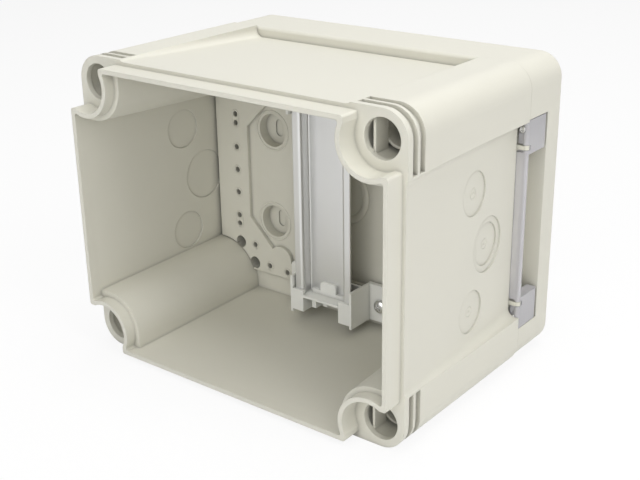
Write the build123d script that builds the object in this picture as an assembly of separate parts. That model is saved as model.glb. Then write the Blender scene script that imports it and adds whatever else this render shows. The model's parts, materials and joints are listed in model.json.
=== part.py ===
from build123d import *
import math
import os

# A deep moulded enclosure for rail-mounted devices, open at the front where its lid goes.
# Millimetres. X runs across, Y from the front rim to the back, Z up. While it is built,
# X and Z are measured from the middle and Y from the front edge of the rim.

# Housing: the deep front shell
rim_width = 183.0  # outside the rim that the lid fits over
rim_height = 146.0
rim_wall = 2.2
rim_reach = 10.3  # from the corner pads to the rim's front edge
rim_ledge = 6.0  # where the thin corner of the rim thickens into the corner column
shoulder_step = 2.6  # the corner towers stand proud of the rim's sides by this
tower_length = 26.6  # each tower along the sides, from the outer corner
housing_depth = 108.5  # to the seam with the rear shell
panel_step = 0.9  # the panels between the towers lie this far back at the shoulder
panel_draft = 2.9  # degrees
wall_draft = 2.4  # of the cavity
wall = 3.0
panel_round = 4.0  # where a panel meets a tower

# Lid screw holes in the corner pads
hole_inset = 9.8  # from the rim's outer faces
hole_radius = 8.75
pad_thickness = 3.1
screw_well = 26.0  # depth of the hollow behind the pad
sleeve_cone = 4.0  # depth of the cone that the sleeve's bore ends in
well_radius = 9.3
sleeve_start = 12.0  # of the sleeve that the lid screw runs in
sleeve_radius = 7.3
sleeve_wall = 1.1
notch_radius = 13.4  # the rim passes round the pad at this radius
notch_reach = 11.8
notch_round = 1.2
web_place = 5.2  # the web in the hole, from its axis
web_thickness = 1.2
column_radius = 18.0
core_corner = 8.0  # of the hollow behind each tower
core_shift = 1.0  # the hollow in each column lies this far inside the screw's axis

# Grooves round the outer corner of each tower
groove_depth = 2.1
groove_starts = (13.4, 18.5)
groove_widths = (3.4, 3.7)

# Back wall, its raised border and its holes
land_front = 91.4
land_height = 2.2
land_width = 167.8
land_length = 112.4
land_corner = 22.5
land_shift = 0.4  # the middle of the corner's round edge lies this far outside the screw's axis
field_width = 124.4  # the low octagonal field inside the border
field_height = 93.0
field_corner = 21.0
lobe_place = (41.5, 46.0)
lobe_radius = 7.5
peg_radius = 1.5
peg_depth = 4.6
peg_column = 70.1
peg_rows = (0.0, 12.8, 26.2, 31.0)
peg_corner = ((59.3, 41.4), (49.2, 51.5), (36.9, 52.5))
boss_places = ((69.7, 41.8), (59.8, 52.0))
boss_hole = 3.4
boss_radius = 5.2
boss_depth = 9.0
cup_place = (46.3, 25.3)  # wall fixing knockouts
cup_radius = 8.8
cup_depth = 6.0
cup_wall = 2.0
slot_width = 5.0
slot_height = 9.2

# Cable knockouts in the side walls
side_middle = -2.9  # height of the middle line of the knockouts and the strips
knock_small = 10.3
knock_large = 13.3
knock_rise = 28.4
knock_depths = (68.4, 82.6)  # of the single ones and of the double one
knock_step = 0.8
knock_inside = 0.7

# Rear shell
rear_depth = 32.85
rear_inset = 0.6
rear_round = 3.0
rear_corner = 7.0  # inside radius of the corners
lip_reach = 7.6  # the front edge is thickened inwards to here
lip_depth = 2.6
seam_gap = 0.15
seam_round = 1.8
ring_inset = 10.2  # sealing wall behind the outer wall, on both shells
ring_wall = 3.4
ring_round = 6.0
gasket_width = 1.8
gasket_depth = 2.0
gasket_gap = 0.05
slot_half = 52.6  # openings in the sides for the clear strips
slot_reach = 19.0
rib = 2.0

# Clear strips on the two sides, which hold the rear shell
strip_radius = 1.5
pin_radius = 0.7
pin_half = 44.4
pin_gap = 0.05
strip_gap = 0.3
arm_inner = 36.0
arm_thickness = 5.4
arm_reach = 16.3
web_reach = 5.4
web_half = 37.0
web_front = 1.4  # thickness
lug_reach = 6.4
lug_place = 39.3
lug_width = 2.1
lug_gap = 0.25
seat_gap = 0.15
clamp_place = (3.4, 47.6)  # screws of the right strip, from its outer face and the middle
clamp_radius = 1.0
clamp_head = 1.9
clamp_head_height = 1.3
clamp_length = 22.0
clamp_gap = 0.2
clamp_boss = 3.0

# Rail and its end brackets
rail_width = 35.0
rail_channel = 27.0
rail_height = 7.5
rail_gauge = 1.0
rail_front = 75.0
rail_margin = 20.9  # from the rim's outer faces to the rail's ends
bracket_width = 39.2
bracket_front = 73.0
cheek = 1.4
leg_width = 8.3
leg_past = 9.3  # past the rail's end, and short of it
leg_short = 2.3
cheek_past = 10.9
cheek_short = 9.1
shelf = 1.3
tongue_width = 9.8
tongue_height = 7.0
tongue_thickness = 2.0
foot_width = 12.0
foot_thickness = 2.5
screw_side = 26.4  # from the rail's middle
screw_past = 1.9  # past the rail's end
screw_radius = 1.75
screw_head = 3.5
screw_head_height = 2.4
screw_length = 7.0
screw_gap = 0.05
cross_width = 0.9
cross_depth = 1.2

# Sizes worked out from those above
body_width = rim_width + 2 * shoulder_step
body_height = rim_height + 2 * shoulder_step
tower_round = hole_inset + shoulder_step  # about the same axis as the hole
hole_x = rim_width / 2 - hole_inset
hole_z = rim_height / 2 - hole_inset
corners = [(side, rise) for side in (-1, 1) for rise in (-1, 1)]
panel_slope = math.tan(math.radians(panel_draft))
wall_slope = math.tan(math.radians(wall_draft))
wall_front = land_front + land_height
wall_back = wall_front + wall
rear_start = housing_depth + seam_gap
total_depth = rear_start + rear_depth
rear_width = body_width - 2 * rear_inset
rear_height = body_height - 2 * rear_inset
strip_x = rear_width / 2 - strip_radius
strip_y = housing_depth + strip_radius + strip_gap
clamp_x = rear_width / 2 - clamp_place[0]
clamp_z = clamp_place[1]
clamp_end = strip_y + clamp_length
ring_face = body_width / 2 - ring_inset
rail_half = rim_height / 2 - rail_margin
leg_low = rail_half + leg_past
leg_top = rail_half - leg_short
cheek_low = rail_half + cheek_past
cheek_top = rail_half - cheek_short
screw_place = (screw_side, rail_half + screw_past)
lift = Pos(0, 0, side_middle)
far = 40.0  # how far a cutting tool runs out past the part
small_sides = 12  # sides that stand for a circle in the smallest blind holes and shanks


def slab(profile, start, end):
    """A profile drawn in X and Z, carried from one depth to another."""
    return extrude(Plane.XZ.offset(-start) * profile, amount=start - end)


def block(low, high):
    """A box between two corners."""
    size = [b - a for a, b in zip(low, high)]
    middle = [(a + b) / 2 for a, b in zip(low, high)]
    return Pos(*middle) * Box(*size)


def mirrored(shape, side, rise=1):
    """The shape moved to the given side, from the right-hand upper one."""
    if side < 0:
        shape = mirror(shape, Plane.YZ)
    if rise < 0:
        shape = mirror(shape, Plane.XY)
    return shape


def corner_box(reach, start, end):
    """Boxes over the four outer corners of the body, each way by the reach."""
    boxes = []
    for side, rise in corners:
        low = (body_width / 2 - reach, start, body_height / 2 - reach)
        high = (body_width / 2 + far, end, body_height / 2 + far)
        boxes.append(mirrored(block(low, high), side, rise))
    return Part() + boxes


def rim_outline(wall_inset):
    """Rim with its corners led round the pads, drawn inwards by the inset."""
    outline = Rectangle(rim_width - 2 * wall_inset, rim_height - 2 * wall_inset)
    radius = notch_radius + wall_inset
    reach = notch_reach
    for side, rise in corners:
        place = Pos(side * hole_x, rise * hole_z)
        outline -= place * Circle(radius)
        outline -= place * Pos(side * (far - reach) / 2, rise * far / 2) * Rectangle(far + reach, far)
        outline -= place * Pos(side * far / 2, rise * (far - reach) / 2) * Rectangle(far, far + reach)
    return fillet(outline.vertices(), notch_round)


def cavity_outline(inset, radius):
    """Inner cavity with a round column in each corner."""
    half_x = rim_width / 2 - inset
    half_z = rim_height / 2 - inset
    cut_x = hole_x - radius
    cut_z = hole_z - radius
    outline = Rectangle(2 * half_x, 2 * cut_z) + Rectangle(2 * cut_x, 2 * half_z)
    inner = [v for v in outline.vertices() if abs(abs(v.X) - cut_x) < 0.01 and abs(abs(v.Y) - cut_z) < 0.01]
    return fillet(inner, radius)


def panel_cut(half, length):
    """Cutter for one tapering panel on the right, between two towers."""
    shallow = half - panel_step
    deep = shallow - panel_slope * (housing_depth - rim_reach)
    points = [(shallow, rim_reach), (deep, housing_depth), (half + far, housing_depth), (half + far, rim_reach)]
    cutter = extrude(Polygon(*points, align=None), amount=length, both=True)
    inner = [e for e in cutter.edges() if abs(abs(e.center().Z) - length) < 0.01 and e.center().X < half - 1]
    return fillet(inner, panel_round)


def grooves():
    """The two grooves that wrap each outer corner."""
    band = Rectangle(body_width + far, body_height + far)
    core_width = body_width - 2 * groove_depth
    core_height = body_height - 2 * groove_depth
    band -= RectangleRounded(core_width, core_height, tower_round - groove_depth)
    rings = [slab(band, start, start + width) for start, width in zip(groove_starts, groove_widths)]
    reach = tower_length
    return (Part() + rings) & corner_box(reach, rim_reach, rim_reach + far)


def screw_hole():
    """Lid screw hole of the upper right corner, with the sleeve and the web in it."""
    start = rim_reach + pad_thickness
    end = rim_reach + screw_well
    place = Pos(hole_x, hole_z)
    hole = slab(place * Circle(hole_radius), rim_reach, start)
    hole += slab(place * Circle(well_radius), start, end)
    sleeve = Circle(sleeve_radius) - Circle(sleeve_radius - sleeve_wall)
    hole -= slab(place * sleeve, rim_reach + sleeve_start, end)
    cone = Rot(-90, 0, 0) * Cone(sleeve_radius - sleeve_wall, 0, sleeve_cone)
    hole += Pos(hole_x, end + sleeve_cone / 2, hole_z) * cone
    low = (hole_x - web_place - web_thickness, start, hole_z - well_radius)
    high = (hole_x - web_place, rim_reach + sleeve_start, hole_z + well_radius)
    return hole - block(low, high)


def tower_cores():
    """Hollows in a tower and its column, open to the rear."""
    shell = RectangleRounded(body_width - 2 * wall, body_height - 2 * wall, core_corner)
    shell -= RectangleRounded(body_width - 2 * ring_inset, body_height - 2 * ring_inset, ring_round)
    start = rim_reach + screw_well + sleeve_cone + wall
    outer = slab(shell, start, housing_depth) & corner_box(tower_length - wall, start, housing_depth)
    inner_x = body_width / 2 - ring_inset - ring_wall
    inner_z = body_height / 2 - ring_inset - ring_wall
    disc = Pos(hole_x - core_shift, hole_z - core_shift) * Circle(column_radius - wall - core_shift)
    disc &= Pos(inner_x - far / 2, inner_z - far / 2) * Rectangle(far, far)
    inner = slab(disc, start, wall_back)
    return outer + [mirrored(inner, side, rise) for side, rise in corners]


def ring_outline(inset, width):
    """A closed band parallel to the outside of the body."""
    band = RectangleRounded(body_width - 2 * inset, body_height - 2 * inset, ring_round)
    hole_width = body_width - 2 * (inset + width)
    hole_height = body_height - 2 * (inset + width)
    return band - RectangleRounded(hole_width, hole_height, ring_round - width / 2)


def peg_points():
    """Middles of the small screw holes in the border, for all four quarters."""
    points = {(side * peg_column, rise * row) for side, rise in corners for row in peg_rows}
    points |= {(side * x, rise * z) for side, rise in corners for x, z in peg_corner}
    return sorted(points)


def back_land():
    """Raised border of the back wall."""
    land = Rectangle(land_width, land_length)
    for side, rise in corners:
        land -= Pos(side * (hole_x + land_shift), rise * (hole_z + land_shift)) * Circle(land_corner)
    field = chamfer(Rectangle(field_width, field_height).vertices(), field_corner)
    for side, rise in corners:
        field -= Pos(side * lobe_place[0], rise * lobe_place[1]) * Circle(lobe_radius)
    return slab(land - field, land_front, wall_front)


def back_holes():
    """Blind holes of the back wall and the low cups of the wall fixings."""
    front = land_front
    pegs = Sketch() + [Pos(*point) * RegularPolygon(peg_radius, small_sides, major_radius=False) for point in peg_points()]
    holes = slab(pegs, front, land_front + peg_depth)
    bosses = Sketch() + [Pos(s * x, r * z) * Circle(boss_hole) for s, r in corners for x, z in boss_places]
    holes += slab(bosses, front, land_front + boss_depth)
    bore = RegularPolygon(screw_radius + screw_gap, small_sides, major_radius=False)
    screws = Sketch() + [Pos(s * screw_place[0], r * screw_place[1]) * bore for s, r in corners]
    holes += slab(screws, front, land_front + screw_length)
    cups = Sketch() + [Pos(s * cup_place[0], r * cup_place[1]) * Circle(cup_radius) for s, r in corners]
    holes += slab(cups, wall_front, wall_front + cup_depth)
    oval = SlotOverall(slot_height, slot_width, rotation=90)
    ovals = Sketch() + [Pos(s * cup_place[0], r * cup_place[1]) * oval for s, r in corners]
    return holes + slab(ovals, wall_front, wall_front + cup_depth + knock_step)


def back_bosses():
    """Material behind the back wall, round the deep holes and the cups."""
    square = Rectangle(2 * boss_radius, 2 * boss_radius)
    discs = Sketch() + [Pos(s * x, r * z) * square for s, r in corners for x, z in boss_places]
    bosses = slab(discs, wall_front, land_front + boss_depth + wall / 2)
    outer = RegularPolygon(cup_radius + cup_wall, 8, major_radius=False)
    cups = Sketch() + [Pos(s * cup_place[0], r * cup_place[1]) * outer for s, r in corners]
    bosses += slab(cups, wall_front, wall_front + cup_depth + cup_wall)
    back = Rectangle(4 * screw_radius, 4 * screw_radius)
    backs = Sketch() + [Pos(s * screw_place[0], r * screw_place[1]) * back for s, r in corners]
    return bosses + slab(backs, wall_front, land_front + screw_length + wall / 2)


def knockouts():
    """Cable knockouts of the right wall: stepped discs outside, shallow ones inside."""
    single, double = knock_depths
    spots = [(single, side_middle + rise * knock_rise, knock_small, knock_step) for rise in (-1, 1)]
    spots += [(double, side_middle, knock_small, 2 * knock_step), (double, side_middle, knock_large, knock_step)]
    cuts = []
    for y, z, radius, depth in spots:
        out = body_width / 2 - panel_step - panel_slope * (y - rim_reach)
        face = Plane(origin=(out, y, z), x_dir=(-panel_slope, 1, 0), z_dir=(1, panel_slope, 0))
        cuts.append(extrude(face * Circle(radius), amount=-depth))
    for y, z, radius, depth in spots[:2] + spots[3:]:
        inner = rim_width / 2 - rim_wall - wall_slope * (y - rim_ledge)
        face = Plane(origin=(inner, y, z), x_dir=(-wall_slope, 1, 0), z_dir=(1, wall_slope, 0))
        cuts.append(extrude(face * Circle(radius), amount=knock_inside))
    return cuts


def lug():
    """Eye on the housing's right edge that a clear strip turns on."""
    low = (strip_x - lug_reach, housing_depth, lug_place - lug_width / 2)
    high = (strip_x, strip_y + strip_radius, lug_place + lug_width / 2)
    eye = Pos(strip_x, strip_y, lug_place) * Cylinder(strip_radius, lug_width)
    return block(low, high) + eye


def make_housing():
    """Deep front shell, one moulding."""
    body = slab(rim_outline(0), 0, rim_reach + wall)
    body += slab(RectangleRounded(body_width, body_height, tower_round), rim_reach, housing_depth)
    for side in (-1, 1):
        body -= mirrored(panel_cut(body_width / 2, body_height / 2 - tower_length), side)
        lid = Rot(0, -90, 0) * panel_cut(body_height / 2, body_width / 2 - tower_length)
        body -= mirrored(lid, 1, side)
    body -= grooves()
    body -= slab(rim_outline(rim_wall), 0, rim_ledge)
    inside = Plane(origin=(0, rim_ledge, 0), x_dir=(1, 0, 0), z_dir=(0, 1, 0)) * cavity_outline(rim_wall, column_radius)
    body -= extrude(inside, amount=wall_front - rim_ledge, taper=wall_draft)
    rear_hollow = Rectangle(body_width - 2 * ring_inset, body_height - 2 * ring_inset)
    rear_hollow = fillet(rear_hollow.vertices(), ring_round)
    skin = wall + panel_step + panel_slope * (housing_depth - rim_reach)
    channel = Rectangle(body_width - 2 * skin, body_height - 2 * skin) - rear_hollow
    body -= slab(channel, wall_back, housing_depth)
    well = Rectangle(body_width - 2 * (ring_inset + ring_wall), body_height - 2 * (ring_inset + ring_wall))
    body -= slab(fillet(well.vertices(), ring_round - ring_wall / 2), wall_back, housing_depth)
    body -= tower_cores()
    body += back_land() + back_bosses()
    body -= back_holes()
    for side, rise in corners:
        body -= mirrored(screw_hole(), side, rise)
        body += lift * mirrored(lug(), side, rise)
    body -= [mirrored(cut, side) for side in (-1, 1) for cut in knockouts()]
    bore = Cylinder(pin_radius + pin_gap, body_height)
    return body - [lift * Pos(side * strip_x, strip_y, 0) * bore for side in (-1, 1)]


def make_rear_shell():
    """Shallow rear shell, one moulding, with a pocket for a strip in each side."""
    outline = RectangleRounded(rear_width, rear_height, tower_round - rear_inset)
    body = slab(outline, rear_start, total_depth)
    rear_edges = body.faces().sort_by(Axis.Y)[-1].edges()
    body = fillet(rear_edges, rear_round)
    body = fillet(body.faces().sort_by(Axis.Y)[0].edges(), seam_round)
    hollow = RectangleRounded(rear_width - 2 * wall, rear_height - 2 * wall, rear_corner)
    body -= slab(hollow, rear_start, total_depth - wall)
    lip = RectangleRounded(rear_width - wall, rear_height - wall, rear_corner)
    lip -= Rectangle(body_width - 2 * lip_reach, body_height - 2 * lip_reach)
    body += slab(lip, rear_start, rear_start + lip_depth)
    body += slab(ring_outline(ring_inset, ring_wall), rear_start, total_depth - wall)
    groove_inset = ring_inset + (ring_wall - gasket_width) / 2
    body -= slab(ring_outline(groove_inset, gasket_width), rear_start, rear_start + gasket_depth)
    pocket_end = housing_depth + slot_reach
    for side in (-1, 1):
        low = (ring_face, rear_start, -slot_half - rib)
        high = (rear_width / 2 - wall / 2, pocket_end + rib, slot_half + rib)
        body += lift * mirrored(block(low, high), side)
        low = (ring_face, rear_start - far, -slot_half)
        high = (rear_width / 2 + far, pocket_end, slot_half)
        body -= lift * mirrored(block(low, high), side)
        for rise in (-1, 1):
            start = strip_y + strip_radius + 2 * lug_gap
            seat_low = (ring_face, start, lug_place + 2 * lug_width)
            seat_high = (strip_x + strip_radius - arm_thickness - seat_gap, pocket_end, slot_half)
            body += lift * mirrored(block(seat_low, seat_high), side, rise)
            boss = slab(Pos(clamp_x, clamp_z) * Circle(clamp_boss), pocket_end, clamp_end + wall / 2)
            hole = slab(Pos(clamp_x, clamp_z) * Circle(clamp_radius + pin_gap), strip_y, clamp_end + pin_gap)
            body += lift * mirrored(boss, side, rise)
            body -= lift * mirrored(hole, side, rise)
    return body


def make_gasket():
    """Seal in the rear shell's groove."""
    inset = ring_inset + (ring_wall - gasket_width) / 2 + gasket_gap
    start = housing_depth + gasket_gap
    return slab(ring_outline(inset, gasket_width - 2 * gasket_gap), start, rear_start + gasket_depth)


def make_strip():
    """Clear strip of the right side: a bar on the seam, a web and two arms."""
    half = slot_half - strip_gap
    bar = Pos(strip_x, strip_y, 0) * Cylinder(strip_radius, 2 * half)
    web_low = (strip_x - web_reach, strip_y - strip_radius, -web_half)
    web_high = (strip_x, strip_y - strip_radius + web_front, web_half)
    strip = bar + block(web_low, web_high)
    for rise in (-1, 1):
        low = (strip_x + strip_radius - arm_thickness, strip_y, arm_inner)
        high = (strip_x + strip_radius, strip_y + arm_reach, half)
        arm = block(low, high)
        arm = fillet(arm.edges().filter_by(Axis.Z).sort_by(Axis.Y)[-2:], 1.2)
        strip += mirrored(arm, 1, rise)
    for rise in (-1, 1):
        gap = lug_width / 2 + lug_gap
        low = (strip_x - far, strip_y - far, lug_place - gap)
        high = (strip_x + far, strip_y + strip_radius + 2 * lug_gap, lug_place + gap)
        strip -= mirrored(block(low, high), 1, rise)
        well = slab(Pos(clamp_x, clamp_z) * Circle(clamp_head + clamp_gap), strip_y - far, strip_y)
        well += slab(Pos(clamp_x, clamp_z) * Circle(clamp_radius + clamp_gap), strip_y, strip_y + far)
        strip -= mirrored(well, 1, rise)
    return lift * (strip - Pos(strip_x, strip_y, 0) * Cylinder(pin_radius + pin_gap, 3 * half))


def make_pin():
    """Steel pin that a strip turns on."""
    return lift * Pos(strip_x, strip_y, 0) * Cylinder(pin_radius, 2 * pin_half)


def make_clamp():
    """Long screw of the right strip's upper arm."""
    front = strip_y - clamp_head_height
    screw = slab(Pos(clamp_x, clamp_z) * Circle(clamp_radius), strip_y, clamp_end)
    head = slab(Pos(clamp_x, clamp_z) * Circle(clamp_head), front, strip_y)
    head = chamfer(head.edges().sort_by(Axis.Y)[0], 0.4)
    cross = Rectangle(2.4, 0.6) + Rectangle(0.6, 2.4)
    return screw + head - slab(Pos(clamp_x, clamp_z) * cross, front - 1, front + clamp_head_height / 2)


def make_rail():
    """Top-hat rail with its open side to the front."""
    middle = rail_gauge / 2
    near = rail_front + middle
    deep = rail_front + rail_height - middle
    side = rail_channel / 2 - middle
    edge = rail_width / 2
    points = [(-edge, near), (-side, near), (-side, deep), (side, deep), (side, near), (edge, near)]
    path = FilletPolyline(*points, radius=1.3)
    return extrude(trace(path, rail_gauge), amount=rail_half, both=True)


def make_lower_bracket():
    """Plastic bracket that holds the lower end of the rail off the back wall."""
    half = bracket_width / 2
    top = -rail_half
    base = rail_front + rail_height
    back = land_front
    parts = []
    for side in (-1, 1):
        plate = block((half - cheek, bracket_front, -cheek_low), (half, back, -cheek_top))
        leg = block((half - leg_width, bracket_front, -leg_low), (half, rail_front, -leg_top))
        leg += block((half - leg_width, bracket_front, -leg_low), (half - leg_width + cheek, base, top))
        foot = block((half, back - foot_thickness, -cheek_low), (half + foot_width, back, -cheek_top))
        foot = fillet(foot.edges().filter_by(Axis.Y).sort_by(Axis.X)[-2:], 2.0)
        hole = slab(Pos(screw_place[0], -screw_place[1]) * Circle(screw_radius + 4 * screw_gap), bracket_front, back + 1)
        parts.append(mirrored(plate + leg + foot - hole, side))
    body = Part() + parts
    body += block((-half, bracket_front, top - shelf), (half, back, top))
    body += block((-half + cheek, base, top), (half - cheek, base + cheek, -cheek_top))
    tongue_back = base - rail_gauge
    low = (-tongue_width / 2, tongue_back - tongue_thickness, top)
    tongue = block(low, (tongue_width / 2, tongue_back, top + tongue_height))
    body += fillet(tongue.edges().filter_by(Axis.Y).sort_by(Axis.Z)[-2:], 1.6)
    step = rail_channel / 2 - 2 * rail_gauge - 1.3
    body += block((-step, tongue_back - tongue_thickness, top), (step, tongue_back, top + tongue_thickness))
    for place, drop in ((-6.5, 5.5), (0.8, 3.0)):
        body += block((place - 1.3, bracket_front + 3, top - shelf - drop), (place + 1.3, base, top - shelf))
    return body


def make_screw():
    """Pan head cross screw of the upper right foot."""
    x, z = screw_place
    seat = land_front - foot_thickness
    shank = slab(Pos(x, z) * RegularPolygon(screw_radius, small_sides, major_radius=False), seat, land_front + screw_length - 0.5)
    head = slab(Pos(x, z) * Circle(screw_head), seat - screw_head_height, seat)
    head = chamfer(head.edges().sort_by(Axis.Y)[0], 1.0)
    cross = Rectangle(3.6, cross_width) + Rectangle(cross_width, 3.6)
    front = seat - screw_head_height
    return shank + head - slab(Pos(x, z) * cross, front - 1, front + cross_depth)


housing = make_housing()
rear_shell = make_rear_shell()
rear_gasket = make_gasket()
right_strip = make_strip()
left_strip = mirrored(right_strip, -1)
right_pin = make_pin()
left_pin = mirrored(right_pin, -1)
din_rail = make_rail()
lower_bracket = make_lower_bracket()
upper_bracket = mirrored(lower_bracket, 1, -1)
upper_screws = Compound([mirrored(make_screw(), side) for side in (-1, 1)])
lower_screws = mirrored(upper_screws, 1, -1)
strip_screws = Compound([lift * mirrored(make_clamp(), 1, rise) for rise in (-1, 1)])

nodes = {
    "housing": housing,
    "rear_shell": rear_shell,
    "rear_gasket": rear_gasket,
    "right_strip": right_strip,
    "left_strip": left_strip,
    "right_strip_pin": right_pin,
    "left_strip_pin": left_pin,
    "din_rail": din_rail,
    "lower_rail_bracket": lower_bracket,
    "upper_rail_bracket": upper_bracket,
    "lower_bracket_screws": lower_screws,
    "upper_bracket_screws": upper_screws,
    "strip_screws": strip_screws,
}

# The part's own origin is under its middle, on the surface that it stands on.
place = Pos(0, -total_depth / 2, body_height / 2)
os.makedirs("parts", exist_ok=True)
for name, shape in nodes.items():
    export_step(place * shape, f"parts/{name}.step")
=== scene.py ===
import bpy
import json
import math
import numpy as np
from mathutils import Euler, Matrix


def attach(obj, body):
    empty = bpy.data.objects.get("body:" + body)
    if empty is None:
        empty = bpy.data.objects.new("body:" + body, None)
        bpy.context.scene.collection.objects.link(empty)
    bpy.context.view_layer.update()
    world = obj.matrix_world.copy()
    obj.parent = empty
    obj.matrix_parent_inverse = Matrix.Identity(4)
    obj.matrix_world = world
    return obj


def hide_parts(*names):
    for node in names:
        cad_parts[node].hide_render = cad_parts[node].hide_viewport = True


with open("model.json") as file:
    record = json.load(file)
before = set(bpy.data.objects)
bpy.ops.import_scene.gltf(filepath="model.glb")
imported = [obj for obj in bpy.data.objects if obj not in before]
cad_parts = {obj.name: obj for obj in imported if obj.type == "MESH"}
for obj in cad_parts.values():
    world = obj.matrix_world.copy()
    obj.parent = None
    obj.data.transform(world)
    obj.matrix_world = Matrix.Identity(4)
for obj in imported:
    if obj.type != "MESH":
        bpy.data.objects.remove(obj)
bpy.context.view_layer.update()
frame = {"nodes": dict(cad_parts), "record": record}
nodes = frame["nodes"]
print("frame loaded:", len(nodes), "nodes")

# The view and the lamps. Places are metres in the enclosure's own frame.
view = {
    "place": (0.32026, -0.40251, 0.26354),  # in front, to the right and above
    "turn": (68.177, 0.864, 37.965),  # degrees
    "lens": 62.65,
    "sensor": 36.0,
    "nearest": 0.01,
}
studio = {
    "aim": (0, 0, 0.08),  # all lamps point at the enclosure's middle
    "lamps": {
        "front": dict(place=(0.10, -1.50, 0.35), size=0.9, power=3.4),
        "high": dict(place=(0.20, -1.10, 1.00), size=0.9, power=5.4),
        "top": dict(place=(0.00, -0.10, 1.50), size=1.0, power=10.5),
        "back": dict(place=(0.00, 0.70, 1.20), size=0.9, power=4.0),
        "corner": dict(place=(1.00, -1.00, 0.40), size=0.9, power=4.0),
        "side": dict(place=(1.10, -0.10, 1.00), size=0.9, power=9.0),
    },
    "ambient": 0.04,
    "floor": 0.93,
    "floorRoughness": 0.9,
    "floorGlow": 0.88,  # share of plain white where the floor is seen directly
    "floorReach": 3.0,  # from the middle to each edge
}


# A node with its properties set, and its sockets where the key names one
def add(tree, kind, **settings):
    node = tree.nodes.new("ShaderNode" + kind)
    for key, value in settings.items():
        if hasattr(node, key):
            setattr(node, key, value)
        else:
            node.inputs[key].default_value = value
    return node


# A Math node on sockets and plain numbers
def calculate(tree, operation, *terms, **settings):
    node = add(tree, "Math", operation=operation, **settings)
    for socket, term in zip(node.inputs, terms):
        if isinstance(term, float):
            socket.default_value = term
        else:
            tree.links.new(term, socket)
    return node.outputs[0]


# A material with its tree and its main shader
def newMaterial(name):
    material = bpy.data.materials.new(name)
    material.use_nodes = True
    tree = material.node_tree
    return material, tree, tree.nodes["Principled BSDF"]


def placeCamera():
    data = bpy.data.cameras.new("camera")
    camera = bpy.data.objects.new("camera", data)
    bpy.context.collection.objects.link(camera)
    camera.location = view["place"]
    camera.rotation_euler = Euler([math.radians(a) for a in view["turn"]], "XYZ")
    data.lens = view["lens"]
    data.sensor_width = view["sensor"]
    data.clip_start = view["nearest"]
    bpy.context.scene.camera = camera


def areaLamp(name, place, size, power):
    data = bpy.data.lights.new(name, "AREA")
    data.shape = "SQUARE"
    data.size = size
    data.energy = power
    lamp = bpy.data.objects.new(name, data)
    bpy.context.collection.objects.link(lamp)
    lamp.location = place
    away = np.array(place) - np.array(studio["aim"])
    tilt = math.atan2(math.hypot(away[0], away[1]), away[2])
    lamp.rotation_euler = (tilt, 0, math.atan2(away[0], -away[1]))


# 1 where a ray comes from the camera, from a reflection or through glass, otherwise 0
def seenDirectly(tree):
    rays = add(tree, "LightPath")
    seen = rays.outputs["Is Camera Ray"]
    for label in ("Is Glossy Ray", "Is Transmission Ray"):
        seen = calculate(tree, "MAXIMUM", seen, rays.outputs[label])
    return seen


def lightWorld():
    world = bpy.data.worlds.new("studio")
    bpy.context.scene.world = world
    world.use_nodes = True
    tree = world.node_tree
    back = tree.nodes["Background"]
    back.inputs["Color"].default_value = (1, 1, 1, 1)
    strength = add(tree, "MapRange", **{"To Min": studio["ambient"], "To Max": 1.0})
    tree.links.new(seenDirectly(tree), strength.inputs["Value"])
    tree.links.new(strength.outputs[0], back.inputs["Strength"])


def layFloor():
    far = studio["floorReach"]
    mesh = bpy.data.meshes.new("floor")
    corners = [(-far, -far, 0), (far, -far, 0), (far, far, 0), (-far, far, 0)]
    mesh.from_pydata(corners, [], [(0, 1, 2, 3)])
    floor = bpy.data.objects.new("floor", mesh)
    bpy.context.collection.objects.link(floor)
    material, tree, plain = newMaterial("paleFloor")
    shade = studio["floor"]
    plain.inputs["Base Color"].default_value = (shade, shade, shade, 1)
    plain.inputs["Roughness"].default_value = studio["floorRoughness"]
    plain.inputs["Specular IOR Level"].default_value = 0.0
    glow = add(tree, "Emission", Strength=1.0)
    mix = add(tree, "MixShader")
    tree.links.new(calculate(tree, "MULTIPLY", seenDirectly(tree), studio["floorGlow"]), mix.inputs["Fac"])
    tree.links.new(plain.outputs[0], mix.inputs[1])
    tree.links.new(glow.outputs[0], mix.inputs[2])
    tree.links.new(mix.outputs[0], tree.nodes["Material Output"].inputs["Surface"])
    mesh.materials.append(material)


placeCamera()
for name, lamp in studio["lamps"].items():
    areaLamp(name, **lamp)
lightWorld()
layFloor()
bpy.context.scene.view_settings.view_transform = "Standard"
print("camera, lamps and floor are in place")

numberSocket, colourSocket, vectorSocket = "NodeSocketFloat", "NodeSocketColor", "NodeSocketVector"


# An empty shader group; inputs are (name, kind, value) and outputs are (name, kind)
def newGroup(name, inputs, outputs):
    group = bpy.data.node_groups.new(name, "ShaderNodeTree")
    for label, kind, value in inputs:
        socket = group.interface.new_socket(name=label, in_out="INPUT", socket_type=kind)
        socket.default_value = value
    for label, kind in outputs:
        group.interface.new_socket(name=label, in_out="OUTPUT", socket_type=kind)
    source, result = group.nodes.new("NodeGroupInput"), group.nodes.new("NodeGroupOutput")
    return group, source.outputs, result.inputs


# A colour made lighter or darker by a factor, which is a socket
def scaleColour(tree, tone, factor):
    node = add(tree, "VectorMath", operation="SCALE")
    tree.links.new(tone, node.inputs[0])
    tree.links.new(factor, node.inputs["Scale"])
    return node.outputs[0]


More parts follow.
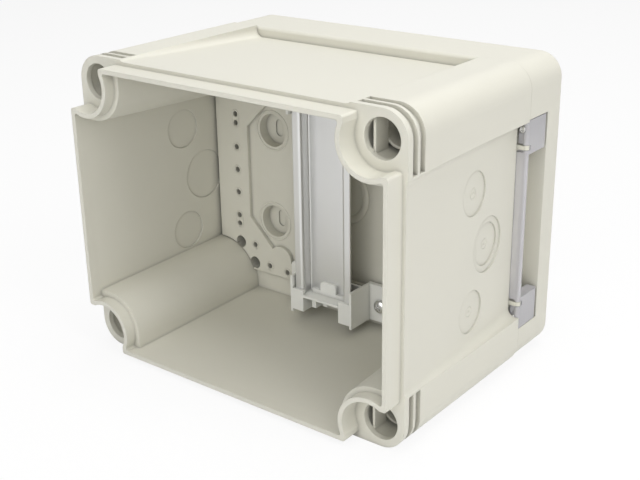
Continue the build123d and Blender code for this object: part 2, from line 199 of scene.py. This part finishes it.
# Fine spark-eroded grain of a moulding, and slow shifts of its colour and gloss
def mouldGrain(cloudSize=22.0, glossShift=0.15):
    group, given, result = newGroup("mouldGrain", [
        ("Colour", colourSocket, (0.8, 0.8, 0.8, 1)),
        ("Shift", numberSocket, 0.04),
        ("Grain Size", numberSocket, 3200.0),
        ("Roughness", numberSocket, 0.5),
    ], [("Colour", colourSocket), ("Roughness", numberSocket), ("Height", numberSocket)])
    link = group.links.new
    place = add(group, "TexCoord")
    grain = add(group, "TexNoise", Detail=3.0)
    link(place.outputs["Object"], grain.inputs["Vector"])
    link(given["Grain Size"], grain.inputs["Scale"])
    cloud = add(group, "TexNoise", Scale=cloudSize, Detail=2.0)
    link(place.outputs["Object"], cloud.inputs["Vector"])
    swing = calculate(group, "SUBTRACT", cloud.outputs["Fac"], 0.5)
    factor = calculate(group, "MULTIPLY_ADD", swing, given["Shift"], 1.0)
    link(scaleColour(group, given["Colour"], factor), result["Colour"])
    link(calculate(group, "MULTIPLY_ADD", swing, glossShift, given["Roughness"]), result["Roughness"])
    link(grain.outputs["Fac"], result["Height"])
    return group


# Soft edges of a moulding: the rounded normal, and a mask where it parts from the flat one
def softEdge(fullyBent=0.75):
    group, given, result = newGroup("softEdge", [
        ("Reach", numberSocket, 0.0005),
        ("Amount", numberSocket, 0.5),
    ], [("Mask", numberSocket), ("Normal", vectorSocket)])
    link = group.links.new
    soft = add(group, "Bevel", samples=6)
    link(given["Reach"], soft.inputs["Radius"])
    flat = add(group, "NewGeometry")
    likeness = add(group, "VectorMath", operation="DOT_PRODUCT")
    link(soft.outputs[0], likeness.inputs[0])
    link(flat.outputs["Normal"], likeness.inputs[1])
    bent = add(group, "MapRange", **{"From Min": 1.0, "From Max": fullyBent})
    link(likeness.outputs["Value"], bent.inputs["Value"])
    link(calculate(group, "MULTIPLY", bent.outputs[0], given["Amount"], use_clamp=True), result["Mask"])
    link(soft.outputs[0], result["Normal"])
    return group


# Painted shade in the base colour for creases and hollows, where less light gets in: 1 where at least the open
# share of it arrives, and the amount less where faces within the reach leave only the shut share
def creaseShade():
    group, given, result = newGroup("creaseShade", [
        ("Reach", numberSocket, 0.0018),
        ("Amount", numberSocket, 0.24),
        ("Shut", numberSocket, 0.25),
        ("Open", numberSocket, 1.0),
    ], [("Shade", numberSocket)])
    link = group.links.new
    near = add(group, "AmbientOcclusion", samples=8)
    link(given["Reach"], near.inputs["Distance"])
    shade = add(group, "MapRange")
    link(near.outputs["AO"], shade.inputs["Value"])
    link(given["Shut"], shade.inputs["From Min"])
    link(given["Open"], shade.inputs["From Max"])
    link(calculate(group, "SUBTRACT", 1.0, given["Amount"]), shade.inputs["To Min"])
    link(shade.outputs[0], result["Shade"])
    return group


# Lines left by rolling: noise drawn out along the length
def rollingLines():
    group, given, result = newGroup("rollingLines", [
        ("Density", vectorSocket, (1400.0, 1400.0, 14.0)),
    ], [("Height", numberSocket)])
    link = group.links.new
    place = add(group, "TexCoord")
    stretch = add(group, "Mapping")
    link(place.outputs["Object"], stretch.inputs["Vector"])
    link(given["Density"], stretch.inputs["Scale"])
    rolled = add(group, "TexNoise", Scale=1.0, Detail=2.0)
    link(stretch.outputs[0], rolled.inputs["Vector"])
    link(rolled.outputs["Fac"], result["Height"])
    return group


grainGroup = mouldGrain()
edgeGroup = softEdge()
creaseGroup = creaseShade()
rollGroup = rollingLines()


def placeGroup(tree, group, **values):
    node = add(tree, "Group", node_tree=group)
    for key, value in values.items():
        node.inputs[key.replace("_", " ")].default_value = value
    return node.outputs


# Relief from a height in the shader's normal, over a rounded normal where there is one
def raiseRelief(tree, shader, height, strength, depth, rounded=None):
    relief = add(tree, "Bump", Strength=strength, Distance=depth)
    tree.links.new(height, relief.inputs["Height"])
    if rounded:
        tree.links.new(rounded, relief.inputs["Normal"])
    tree.links.new(relief.outputs[0], shader.inputs["Normal"])


moulding = {
    "shift": 0.05,  # of the colour, in slow clouds
    "grainSize": 3200.0,
    "grainDepth": 0.00008,
    # painted highlight: how much lighter the soft edges are painted
    "edgeLight": 1.12,
    # painted shade: reach and amount by which creases and hollows darken the base colour
    "crease": dict(Reach=0.0018, Amount=0.24),
    "hollow": dict(Reach=0.014, Amount=0.42, Shut=0.1, Open=0.55),
}


# Moulded plastic: fine grain, a painted highlight on the soft edges, and painted shade in creases and hollows
def mouldedPlastic(name, tone, roughness, bump, edgeHighlight, edge=0.0006, specular=0.45):
    own = moulding
    material, tree, shader = newMaterial(name)
    link = tree.links.new
    shader.inputs["Specular IOR Level"].default_value = specular
    grain = placeGroup(tree, grainGroup, Colour=(*tone, 1), Shift=own["shift"],
                       Grain_Size=own["grainSize"], Roughness=roughness)
    rim = placeGroup(tree, edgeGroup, Reach=edge, Amount=edgeHighlight)
    # painted highlight: a lighter colour on the soft edges, placed by the edge mask
    edgeLit = add(tree, "MixRGB", Color2=(*[c * own["edgeLight"] for c in tone], 1))
    link(rim["Mask"], edgeLit.inputs["Fac"])
    link(grain["Colour"], edgeLit.inputs["Color1"])
    # painted shade: the base colour made darker in creases and hollows
    crease = placeGroup(tree, creaseGroup, **own["crease"])
    hollow = placeGroup(tree, creaseGroup, **own["hollow"])
    paintedShade = calculate(tree, "MULTIPLY", crease["Shade"], hollow["Shade"])
    link(scaleColour(tree, edgeLit.outputs[0], paintedShade), shader.inputs["Base Color"])
    link(grain["Roughness"], shader.inputs["Roughness"])
    raiseRelief(tree, shader, grain["Height"], bump, own["grainDepth"], rim["Normal"])
    return material


plating = {
    "shift": 0.16,
    "grainSize": 900.0,
    "edge": 0.0003,
    "lineStrength": 0.12,
    "lineDepth": 0.00005,
}


# Zinc plated steel with faint rolling lines along the length
def zincSteel(name, tone, roughness, streak, lines=(1400.0, 1400.0, 14.0)):
    own = plating
    material, tree, shader = newMaterial(name)
    link = tree.links.new
    shader.inputs["Metallic"].default_value = 1.0
    rolled = placeGroup(tree, rollGroup, Density=lines)
    cloud = placeGroup(tree, grainGroup, Colour=(*tone, 1), Shift=own["shift"],
                       Grain_Size=own["grainSize"], Roughness=roughness)
    link(cloud["Colour"], shader.inputs["Base Color"])
    rough = calculate(tree, "MULTIPLY_ADD", rolled["Height"], streak, cloud["Roughness"])
    link(rough, shader.inputs["Roughness"])
    rim = placeGroup(tree, edgeGroup, Reach=own["edge"])
    raiseRelief(tree, shader, rolled["Height"], own["lineStrength"], own["lineDepth"], rim["Normal"])
    return material


clearMoulding = {
    "shift": 0.02,
    "rippleSize": 160.0,
    "rippleDepth": 0.0003,
    "refraction": 1.45,
}


# Clear polycarbonate, faintly tinted and a little hazy, with a slow ripple from the moulding
def clearPlastic(name, tint, roughness, ripple, clearness):
    own = clearMoulding
    material, tree, shader = newMaterial(name)
    shader.inputs["Transmission Weight"].default_value = clearness
    shader.inputs["IOR"].default_value = own["refraction"]
    shader.inputs["Roughness"].default_value = roughness
    grain = placeGroup(tree, grainGroup, Colour=(*tint, 1), Shift=own["shift"], Grain_Size=own["rippleSize"])
    tree.links.new(grain["Colour"], shader.inputs["Base Color"])
    raiseRelief(tree, shader, grain["Height"], ripple, own["rippleDepth"])
    return material


finishes = {
    "shell": mouldedPlastic("shellPlastic", (0.66, 0.645, 0.565), roughness=0.46, bump=0.35, edgeHighlight=0.35),
    "bracket": mouldedPlastic("bracketPlastic", (0.80, 0.80, 0.76), roughness=0.42, bump=0.3, edgeHighlight=0.3, edge=0.0004),
    "rail": zincSteel("railZinc", (0.70, 0.70, 0.69), roughness=0.34, streak=0.12),
    "screw": zincSteel("screwZinc", (0.68, 0.68, 0.67), roughness=0.22, streak=0.06, lines=(900.0, 900.0, 900.0)),
    "clear": clearPlastic("clearPolycarbonate", (0.80, 0.79, 0.81), roughness=0.2, ripple=0.04, clearness=0.6),
    "seal": mouldedPlastic("sealRubber", (0.03, 0.03, 0.03), roughness=0.7, bump=0.5, edgeHighlight=0.0, specular=0.3),
}
slotOf = {row["node"]: row["material_slot"] for row in frame["record"]["subparts"]}
for name, piece in nodes.items():
    piece.data.materials.clear()
    piece.data.materials.append(finishes[slotOf[name]])
print("finishes are on the pieces")

millimetre = 0.001  # the pieces below are in millimetres


# A smooth mesh from points and quads, seated on its body and with its finish
def newPiece(name, points, faces, slot, body):
    mesh = bpy.data.meshes.new(name)
    mesh.from_pydata((points * millimetre).tolist(), [], faces)
    mesh.polygons.foreach_set("use_smooth", np.full(len(mesh.polygons), True))
    mesh.update()
    piece = bpy.data.objects.new(name, mesh)
    bpy.context.collection.objects.link(piece)
    mesh.materials.append(finishes[slot])
    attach(piece, body)
    return piece


# Quads of several grids that close on themselves both ways
def ringFaces(copies, rows, columns):
    k, i, j = np.meshgrid(np.arange(copies), np.arange(rows), np.arange(columns), indexing="ij")
    nextRow, nextColumn = (i + 1) % rows, (j + 1) % columns
    base = k * rows * columns
    here, beyond = base + i * columns, base + nextRow * columns
    corners = [here + j, beyond + j, beyond + nextColumn, here + nextColumn]
    return np.stack(corners, -1).reshape(-1, 4).tolist()


# Low beads that ring a hole. A bead is a closed line in the wall's plane, a circle of the radius pulled
# apart by the stretch, and round it an ellipse of the bead's half width and height.
def wallBeads(centres, across, up, out, radius, halfWidth, height, stretch=0.0, rows=40, columns=8):
    turn = (np.arange(rows) + 0.5) * 2 * np.pi / rows
    section = np.arange(columns) * 2 * np.pi / columns
    t, s = np.meshgrid(turn, section, indexing="ij")
    reach = radius + halfWidth * np.cos(s)
    alongAcross = reach * np.cos(t)
    alongUp = reach * np.sin(t) + stretch * np.sign(np.sin(t))
    lift = height * np.sin(s)
    shape = (alongAcross[..., None] * np.array(across) + alongUp[..., None] * np.array(up)
             + lift[..., None] * np.array(out))
    points = np.array(centres)[:, None, None, :] + shape[None]
    return points.reshape(-1, 3), ringFaces(len(centres), rows, columns)


backWall = {
    "front": 20.65,  # depth of the raised border's face
    "field": 22.85,  # depth of the low field's face
    "middle": 75.6,  # height
    "side": 70.1,  # the column of peg holes, from the middle
    "rows": (0.0, 12.8),
    "pair": 28.6,  # middle of two holes that share a collar
    "corner": ((59.3, 41.4), (49.2, 51.5), (36.9, 52.5)),
    "cup": (46.3, 25.3),
    "pegCollar": dict(radius=2.35, halfWidth=0.3, height=0.28),
    "pairCollar": dict(radius=2.35, halfWidth=0.3, height=0.28, stretch=2.4),
    "cupCollar": dict(radius=10.5, halfWidth=0.5, height=0.35, rows=72),
    "middleRing": dict(radius=14.1, halfWidth=1.9, height=1.2, rows=120, columns=16),
}


# Beads of one shape round places (across, up) of the back wall's middle
def ringBackWall(name, places, depth, bead):
    centres = [(x, depth, backWall["middle"] + z) for x, z in places]
    points, faces = wallBeads(centres, across=(1, 0, 0), up=(0, 0, 1), out=(0, -1, 0), **bead)
    newPiece(name, points, faces, "shell", "housing")


def dressBackWall():
    own = backWall
    quarters = [(a, b) for a in (-1, 1) for b in (-1, 1)]
    pegs = {(a * own["side"], b * row) for a, b in quarters for row in own["rows"]}
    pegs |= {(a * x, b * z) for a, b in quarters for x, z in own["corner"]}
    pairs = [(a * own["side"], b * own["pair"]) for a, b in quarters]
    cups = [(a * own["cup"][0], b * own["cup"][1]) for a, b in quarters]
    ringBackWall("pegCollars", sorted(pegs), own["front"], own["pegCollar"])
    ringBackWall("pegPairCollars", pairs, own["front"], own["pairCollar"])
    ringBackWall("cupCollars", cups, own["field"], own["cupCollar"])
    ringBackWall("middleRing", [(0.0, 0.0)], own["field"], own["middleRing"])


knockouts = {
    "line": 72.7,  # height of their middle line
    "places": ((-2.35, 28.4, 0.8), (-2.35, -28.4, 0.8), (11.85, 0.0, 1.6)),  # depth, height from the line, step in
    "panel": 93.2,  # half width of the body at the panel's front edge
    "front": -60.45,  # depth of that edge
    "slope": math.tan(math.radians(2.9)),  # draft of the side walls
    "ring": dict(radius=2.4, halfWidth=0.22, height=0.16, rows=32),
    "dot": dict(radius=0.3, halfWidth=0.28, height=0.3, rows=16),
}


# A ring and a dot in the middle of each knockout, square to the sloping side wall
def dressKnockouts():
    own = knockouts
    slope = own["slope"]
    long = math.hypot(1, slope)
    for side, label in ((1, "right"), (-1, "left")):
        out = (side / long, slope / long, 0)
        across = (-slope / long, side / long, 0)
        centres = []
        for y, z, step in own["places"]:
            x = own["panel"] - slope * (y - own["front"])
            centres.append((side * x - out[0] * step, y - out[1] * step, own["line"] + z))
        rings, ringQuads = wallBeads(centres, across, (0, 0, 1), out, **own["ring"])
        dots, dotQuads = wallBeads(centres, across, (0, 0, 1), out, **own["dot"])
        faces = ringQuads + [[corner + len(rings) for corner in quad] for quad in dotQuads]
        newPiece(label + "KnockoutPips", np.vstack([rings, dots]), faces, "shell", "housing")


dressBackWall()
dressKnockouts()
print("collars and knockout marks are on the walls")

bracketScrew = {
    "place": (26.4, 54.0, 18.15),  # across, up from the back wall's middle, and the depth of the seat
    "head": 3.5,
    "headHeight": 2.4,
    "shank": 1.75,
    "length": 9.5,
    "cross": (1.75, 0.42, 1.3),  # half length, half width and depth
}
stripScrew = {
    "place": (90.1, 47.6, 39.55),
    "head": 1.9,
    "headHeight": 1.3,
    "shank": 1.0,
    "length": 22.0,
    "cross": (1.15, 0.3, 0.7),
}
panHead = {
    "rings": 30,
    "spokes": 96,
    "skirt": 0.3,  # share of the head's height below the dome
    "power": 2.6,  # of the dome's super-ellipse
    "turn": 0.35,  # of the cross, in radians
    "endSlope": 0.25,  # width of the sloping wall at the ends of the cross
    "sideSlope": 0.14,  # and at its sides, which starts a little outside
    "sideStart": 0.12,
    "tip": 0.6,  # length of the shank's tip, and its share of the radius
    "tipShare": 0.6,
}


# Radius and height along a screw. The radius grows as a sine over the dome, goes straight down the head's
# rim, in to the shank and down to its tip; the dome's height is a super-ellipse of the radius.
def screwProfile(own):
    part = np.linspace(0, 1, panHead["rings"] + 1)[1:]
    radius = own["head"] * np.sin(part * np.pi / 2)
    dome = np.sqrt(np.clip(1 - (radius / own["head"]) ** panHead["power"], 0, 1))
    high = own["headHeight"] * (panHead["skirt"] + (1 - panHead["skirt"]) * dome)
    below = np.array([
        (own["head"], 0.0),
        (own["shank"], 0.0),
        (own["shank"], -own["length"] + panHead["tip"]),
        (own["shank"] * panHead["tipShare"], -own["length"]),
    ])
    return np.concatenate([radius, below[:, 0]]), np.concatenate([high, below[:, 1]])


# How deep the cross is at a point, from 0 to 1: the larger of two bars whose walls slope
def crossDepth(own, x, z):
    cosine, sine = math.cos(panHead["turn"]), math.sin(panHead["turn"])
    halfLong, halfWide = own["cross"][:2]

    def bar(along, aside):
        ends = np.clip((halfLong - np.abs(along)) / panHead["endSlope"], 0, 1)
        sides = np.clip((halfWide + panHead["sideStart"] - np.abs(aside)) / panHead["sideSlope"], 0, 1)
        return ends * sides

    a = x * cosine + z * sine
    b = z * cosine - x * sine
    return np.maximum(bar(a, b), bar(b, a))


# Quads between the rings of a turned shape, and triangles to its two poles
def turnedFaces(rows, spokes):
    i, j = np.meshgrid(np.arange(rows - 1), np.arange(spokes), indexing="ij")
    after = (j + 1) % spokes
    here, below = i * spokes, (i + 1) * spokes
    quads = np.stack([here + j, below + j, below + after, here + after], -1).reshape(-1, 4).tolist()
    spoke = np.arange(spokes)
    after = (spoke + 1) % spokes
    top = np.full(spokes, rows * spokes)
    last = (rows - 1) * spokes
    caps = np.vstack([np.stack([top, spoke, after], -1), np.stack([top + 1, last + after, last + spoke], -1)])
    return quads + caps.tolist()


# Pan head screws that lie along the depth: the profile turned once round, less the cross in the dome
def panHeads(name, own, centres, node, body):
    radius, high = screwProfile(own)
    angle = np.arange(panHead["spokes"]) * 2 * np.pi / panHead["spokes"]
    x = radius[:, None] * np.cos(angle)
    z = radius[:, None] * np.sin(angle)
    deep = own["cross"][2]
    cross = crossDepth(own, x, z) * (high > 0)[:, None]
    y = -(high[:, None] - deep * cross)
    ring = np.stack([x, y, z], -1).reshape(-1, 3)
    poles = np.array([(0, -(own["headHeight"] - deep), 0), (0, own["length"], 0)])
    one = np.vstack([ring, poles])
    quads = turnedFaces(len(radius), panHead["spokes"])
    points = np.vstack([one + np.array(centre) for centre in centres])
    faces = [[k * len(one) + corner for corner in face] for k in range(len(centres)) for face in quads]
    piece = newPiece(name, points, faces, "screw", body)
    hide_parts(node)


def driveScrews():
    x, up, seat = bracketScrew["place"]
    for side, label in ((-1, "lower"), (1, "upper")):
        centres = [(s * x, seat, backWall["middle"] + side * up) for s in (-1, 1)]
        panHeads(label + "PanHeads", bracketScrew, centres, label + "_bracket_screws", "housing")
    x, up, seat = stripScrew["place"]
    centres = [(x, seat, knockouts["line"] + s * up) for s in (-1, 1)]
    panHeads("stripPanHeads", stripScrew, centres, "strip_screws", "rear_shell")


driveScrews()
print("screws are in")
